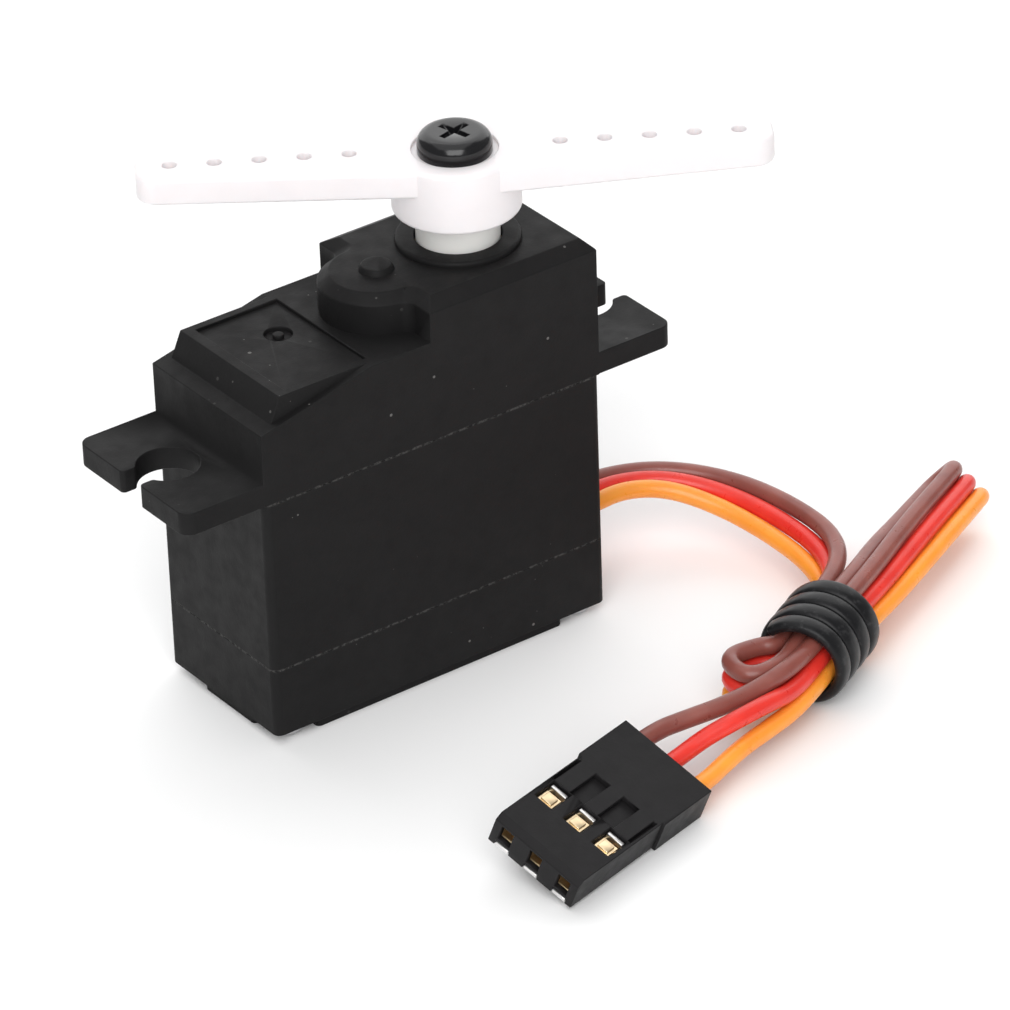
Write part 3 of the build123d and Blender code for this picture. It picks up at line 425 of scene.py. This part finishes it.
look = {
    "case_plastic": case_plastic("case_plastic"),
    "screw_steel": metal("screw_steel", (0.52, 0.52, 0.53)),
    "gear_nylon": white_nylon("gear_nylon", (0.80, 0.79, 0.76), (0.88, 0.87, 0.84), 0.2),
    "horn_nylon": white_nylon("horn_nylon"),
    "horn_screw_black": plastic("horn_screw_black", (0.008, 0.008, 0.009), 0.17, 2500, 0.45, 0.006, 0.2),
    "pin_steel": metal("pin_steel", (0.60, 0.60, 0.61), 0.22),
    "bush_brass": metal("bush_brass", (0.72, 0.55, 0.28), 0.30, (4000, 4000, 300)),
    "can_nickel": metal("can_nickel", (0.64, 0.64, 0.63), 0.28),
    "cap_plastic": plastic("cap_plastic", (0.80, 0.78, 0.72), 0.5),
    "magnet_ferrite": plastic("magnet_ferrite", (0.05, 0.05, 0.055), 0.6, 2600, 0.4, 0.03),
    "core_steel": metal("core_steel", (0.42, 0.42, 0.43), 0.38, (200, 200, 9000)),
    "copper_wire": metal("copper_wire", (0.70, 0.28, 0.12), 0.28, (300, 300, 8000)),
    "terminal_tin": metal("terminal_tin", (0.72, 0.72, 0.70), 0.30),
    "brush_carbon": plastic("brush_carbon", (0.03, 0.03, 0.03), 0.65, 3000, 0.3, 0.02),
    "pot_blue": plastic("pot_blue", (0.03, 0.09, 0.28), 0.45),
    "track_carbon": plastic("track_carbon", (0.02, 0.02, 0.022), 0.55, 4200, 0.35, 0.01),
    "board_green": board_mask("board_green"),
    "chip_black": plastic("chip_black", (0.018, 0.018, 0.02), 0.6, 4200, 0.35, 0.012),
    "capacitor_sleeve": plastic("capacitor_sleeve", (0.03, 0.03, 0.05), 0.3, 1800, 0.5),
    "grommet_rubber": plastic("grommet_rubber", (0.014, 0.014, 0.014), 0.7, 2600, 0.3, 0.015),
    "solder": metal("solder", (0.66, 0.66, 0.66), 0.30, (900, 900, 900)),
    "wire_brown": wire_pvc("wire_brown", (0.285, 0.085, 0.066), (0.21, 0.058, 0.046)),
    "wire_red": wire_pvc("wire_red", (0.83, 0.045, 0.030), (0.70, 0.028, 0.020)),
    "wire_orange": wire_pvc("wire_orange", (1.0, 0.37, 0.045), (0.95, 0.30, 0.032)),
    "tie_black": tie_plastic("tie_black"),
    "plug_black": plastic("plug_black", (0.0125, 0.0118, 0.0125), 0.45, 3800, 0.16, 0.012, 0.18),
    "contact_gold": metal("contact_gold", (0.98, 0.78, 0.50), 0.34, (2200, 300, 300), 0.12),
}
lance_tin = metal("lance_tin", (0.86, 0.85, 0.84), 0.30, (2200, 300, 300), 0.15)

node_slot = {row["node"]: row["material_slot"] for row in frame["record"]["subparts"]}


def dress(piece, material):
    """Gives a piece one material only."""
    piece.data.materials.clear()
    piece.data.materials.append(material)


for node_name, node in frame["nodes"].items():
    dress(node, look[node_slot[node_name]])


def finished(piece, body, slot, *replaced):
    """Parents a new piece to its body, gives it its finish and hides the CAD nodes that it stands for."""
    dress(piece, look[slot])
    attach(piece, body)
    if replaced:
        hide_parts(*replaced)
    return piece


# ---------------------------------------------------------------- refined shells
edge_angle = math.radians(28)
weld_distance = 0.002


def new_piece(name, mesh):
    """An object in the scene for a mesh."""
    piece = bpy.data.objects.new(name, mesh)
    scene.collection.objects.link(piece)
    return piece


def soften(piece, width, segments=3):
    """Rounds the convex sharp edges, keeps the concave ones crisp, and evens the shading of the flats."""
    work = bmesh.new()
    work.from_mesh(piece.data)
    weight = work.edges.layers.float.new("bevel_weight_edge")
    for edge in work.edges:
        if len(edge.link_faces) != 2:
            continue
        turn = edge.calc_face_angle_signed(0.0)
        if turn > edge_angle:
            edge[weight] = 1.0
        elif turn < -edge_angle:
            edge.smooth = False
    for face in work.faces:
        face.smooth = True
    work.to_mesh(piece.data)
    work.free()
    bevel = piece.modifiers.new("edge_round", "BEVEL")
    bevel.width = width * MM
    bevel.segments = segments
    bevel.limit_method = "WEIGHT"
    bevel.use_clamp_overlap = False
    bevel.miter_outer = "MITER_ARC"
    bevel.loop_slide = False
    bevel.face_strength_mode = "FSTR_ALL"
    even = piece.modifiers.new("even_shading", "WEIGHTED_NORMAL")
    even.use_face_influence = True
    even.keep_sharp = True


def refined(name, node_name, width):
    """A copy of a CAD node with welded corners and softly rounded edges."""
    source = frame["nodes"][node_name].data
    mesh = bpy.data.meshes.new(name)
    mesh.from_pydata([v.co for v in source.vertices], [], [p.vertices[:] for p in source.polygons])
    work = bmesh.new()
    work.from_mesh(mesh)
    bmesh.ops.remove_doubles(work, verts=work.verts, dist=weld_distance * MM)
    bmesh.ops.dissolve_degenerate(work, edges=work.edges, dist=weld_distance * MM)
    bmesh.ops.recalc_face_normals(work, faces=work.faces)
    work.to_mesh(mesh)
    work.free()
    piece = new_piece(name, mesh)
    soften(piece, width)
    return piece


shells = (
    ("shell_top", "top_case", "case", 0.07),
    ("shell_middle", "middle_case", "case", 0.05),
    ("shell_bottom", "bottom_cover", "case", 0.05),
    ("horn_arms", "horn", "output", 0.08),
    ("horn_screw_head", "horn_screw", "output", 0.05),
    ("plug_shell", "connector_housing", "case", 0.06),
)
for piece_name, node_name, body, width in shells:
    finished(refined(piece_name, node_name, width), body, node_slot[node_name], node_name)

# ---------------------------------------------------------------- tie
tie_turns = 3.55
tie_from, tie_to = -2.95, 2.95
tie_start_angle = math.radians(130)
tie_radius = 3.02
tie_half_width = 0.79
tie_half_thickness = 0.43
tie_steps = 220
tie_sides = 20
tie_width_power, tie_thickness_power = 0.7, 0.85
tie_edge = 0.08


def make_tie():
    """One flattened tube wound round the bundle, closed at both ends."""
    mesh = bpy.data.meshes.new("tie_coil")
    work = bmesh.new()
    rings = []
    for i in range(tie_steps + 1):
        t = i / tie_steps
        angle = tie_start_angle - math.tau * tie_turns * t
        along = tie_from + (tie_to - tie_from) * t
        radial = bundle_side * math.cos(angle) + UP * math.sin(angle)
        centre = bundle_centre + bundle_direction * along + radial * tie_radius
        ring = []
        for k in range(tie_sides):
            a = math.tau * k / tie_sides
            c, s = math.cos(a), math.sin(a)
            wide = math.copysign(abs(c) ** tie_width_power, c) * tie_half_width
            thick = math.copysign(abs(s) ** tie_thickness_power, s) * tie_half_thickness
            ring.append(work.verts.new((centre + bundle_direction * wide + radial * thick) * MM))
        rings.append(ring)
    for before, after in zip(rings, rings[1:]):
        for k in range(tie_sides):
            j = (k + 1) % tie_sides
            work.faces.new((before[k], before[j], after[j], after[k]))
    work.faces.new(rings[0])
    work.faces.new(list(reversed(rings[-1])))
    bmesh.ops.recalc_face_normals(work, faces=work.faces)
    work.to_mesh(mesh)
    work.free()
    piece = new_piece("tie_coil", mesh)
    soften(piece, tie_edge)
    return piece


finished(make_tie(), "case", "tie_black", "lead_tie")

# ---------------------------------------------------------------- plug contacts
contact_half_y = 0.81
contact_half_z = 0.71
contact_wall = 0.2
contact_edge = 0.05
body_x = (8.34, 13.46)
roof_x = (10.6, 13.46)
pad_x, pad_half_y, pad_z = (9.15, 10.35), 0.64, (0.60, 1.02)
crown_x, crown_half_y, crown_z = (9.34, 10.16), 0.44, (0.95, 1.14)
stop_x, stop_y, stop_z = (10.2, 10.44), (-0.15, 0.55), (0.30, 1.00)
lance_x, lance_y, lance_z = (8.50, 8.82), (-0.70, 0.66), (0.35, 1.12)
lip_x, lip_half_y, lip_z = (12.96, 13.94), 0.56, (-1.16, -0.86)
burr_x, burr_y, burr_z = (9.5, 9.72), (0.66, 0.77), (0.3, 1.08)


def plug_box(work, x, y, z):
    """A closed box in the plug's own frame, from ranges along, across and up."""
    corners = [work.verts.new(in_plug(a, b, c) * MM) for a in x for b in y for c in z]
    for face in ((0, 1, 3, 2), (4, 6, 7, 5), (0, 4, 5, 1), (2, 3, 7, 6), (0, 2, 6, 4), (1, 5, 7, 3)):
        work.faces.new([corners[i] for i in face])


def boxes_piece(name, boxes, width):
    """One piece made of closed boxes, with rounded edges."""
    mesh = bpy.data.meshes.new(name)
    work = bmesh.new()
    for box in boxes:
        plug_box(work, *box)
    bmesh.ops.recalc_face_normals(work, faces=work.faces)
    work.to_mesh(mesh)
    work.free()
    piece = new_piece(name, mesh)
    soften(piece, width, 2)
    return piece


gold_boxes, tin_boxes = [], []
for k in (-1, 0, 1):
    y = k * plug_pitch
    left, right = y - contact_half_y, y + contact_half_y
    low, high = -contact_half_z, contact_half_z
    # folded walls of the socket
    gold_boxes += [
        (body_x, (left, right), (low, low + contact_wall)),
        (body_x, (left, left + contact_wall), (low, high)),
        (body_x, (right - contact_wall, right), (low, high)),
        (roof_x, (left, right), (high - contact_wall, high)),
    ]
    # tab folded over in the window, with a raised middle
    gold_boxes += [
        (pad_x, (y - pad_half_y, y + pad_half_y), pad_z),
        (crown_x, (y - crown_half_y, y + crown_half_y), crown_z),
        (stop_x, (y + stop_y[0], y + stop_y[1]), stop_z),
    ]
    # tinned bar behind the tab, and the lip under the front edge
    tin_boxes += [
        (lance_x, (y + lance_y[0], y + lance_y[1]), lance_z),
        (lip_x, (y - lip_half_y, y + lip_half_y), lip_z),
    ]
gold_boxes.append((burr_x, (plug_pitch + burr_y[0], plug_pitch + burr_y[1]), burr_z))
finished(
    boxes_piece("socket_contacts", gold_boxes, contact_edge),
    "case", "contact_gold", "connector_contacts",
)
lances = finished(boxes_piece("contact_lances", tin_boxes, contact_edge), "case", "contact_gold")
dress(lances, lance_tin)

# ---------------------------------------------------------------- cords
cord_lengths = (0.1214, 0.1190, 0.1168)
for index, (piece, word, length) in enumerate(zip(wires, wire_names, cord_lengths)):
    finished(piece, "case", "wire_" + word, "lead_" + word)

# ---------------------------------------------------------------- floor and lights
floor_half = 3.0
world_strength = 0.26


def make_floor():
    """A wide white sheet under the part, kept out of the exported model."""
    mesh = bpy.data.meshes.new("floor")
    h = floor_half
    mesh.from_pydata([(-h, -h, 0), (h, -h, 0), (h, h, 0), (-h, h, 0)], [], [(0, 1, 2, 3)])
    floor = new_piece("floor", mesh)
    s = Shader("floor_paper")
    s.set(Base_Color=s.mix(s.noise(30, 2), (0.96, 0.96, 0.96), (0.98, 0.98, 0.98)), Roughness=0.9)
    s.set(Specular_IOR_Level=0.1)
    dress(floor, s.material)


def area_light(name, place, target, size, power):
    """A rectangular softbox turned towards a target."""
    data = bpy.data.lights.new(name, "AREA")
    data.shape = "RECTANGLE"
    data.size, data.size_y = size
    data.energy = power
    light = bpy.data.objects.new(name, data)
    scene.collection.objects.link(light)
    place, target = Vector(place), Vector(target)
    light.location = place
    light.rotation_euler = (target - place).to_track_quat("-Z", "Y").to_euler()


make_floor()
middle = (0.008, -0.008, 0.012)
area_light("softbox_top", (-0.05, 0.05, 0.60), middle, (0.7, 0.7), 1.3)
area_light("softbox_front", (-0.35, -0.50, 0.47), middle, (0.6, 0.6), 4.9)
area_light("softbox_back", (0.32, 0.46, 0.38), middle, (1.3, 0.8), 4.6)

world = bpy.data.worlds.new("studio")
world.use_nodes = True
background = world.node_tree.nodes["Background"]
background.inputs["Color"].default_value = (1, 1, 1, 1)
background.inputs["Strength"].default_value = world_strength
scene.world = world
scene.view_settings.view_transform = "Standard"
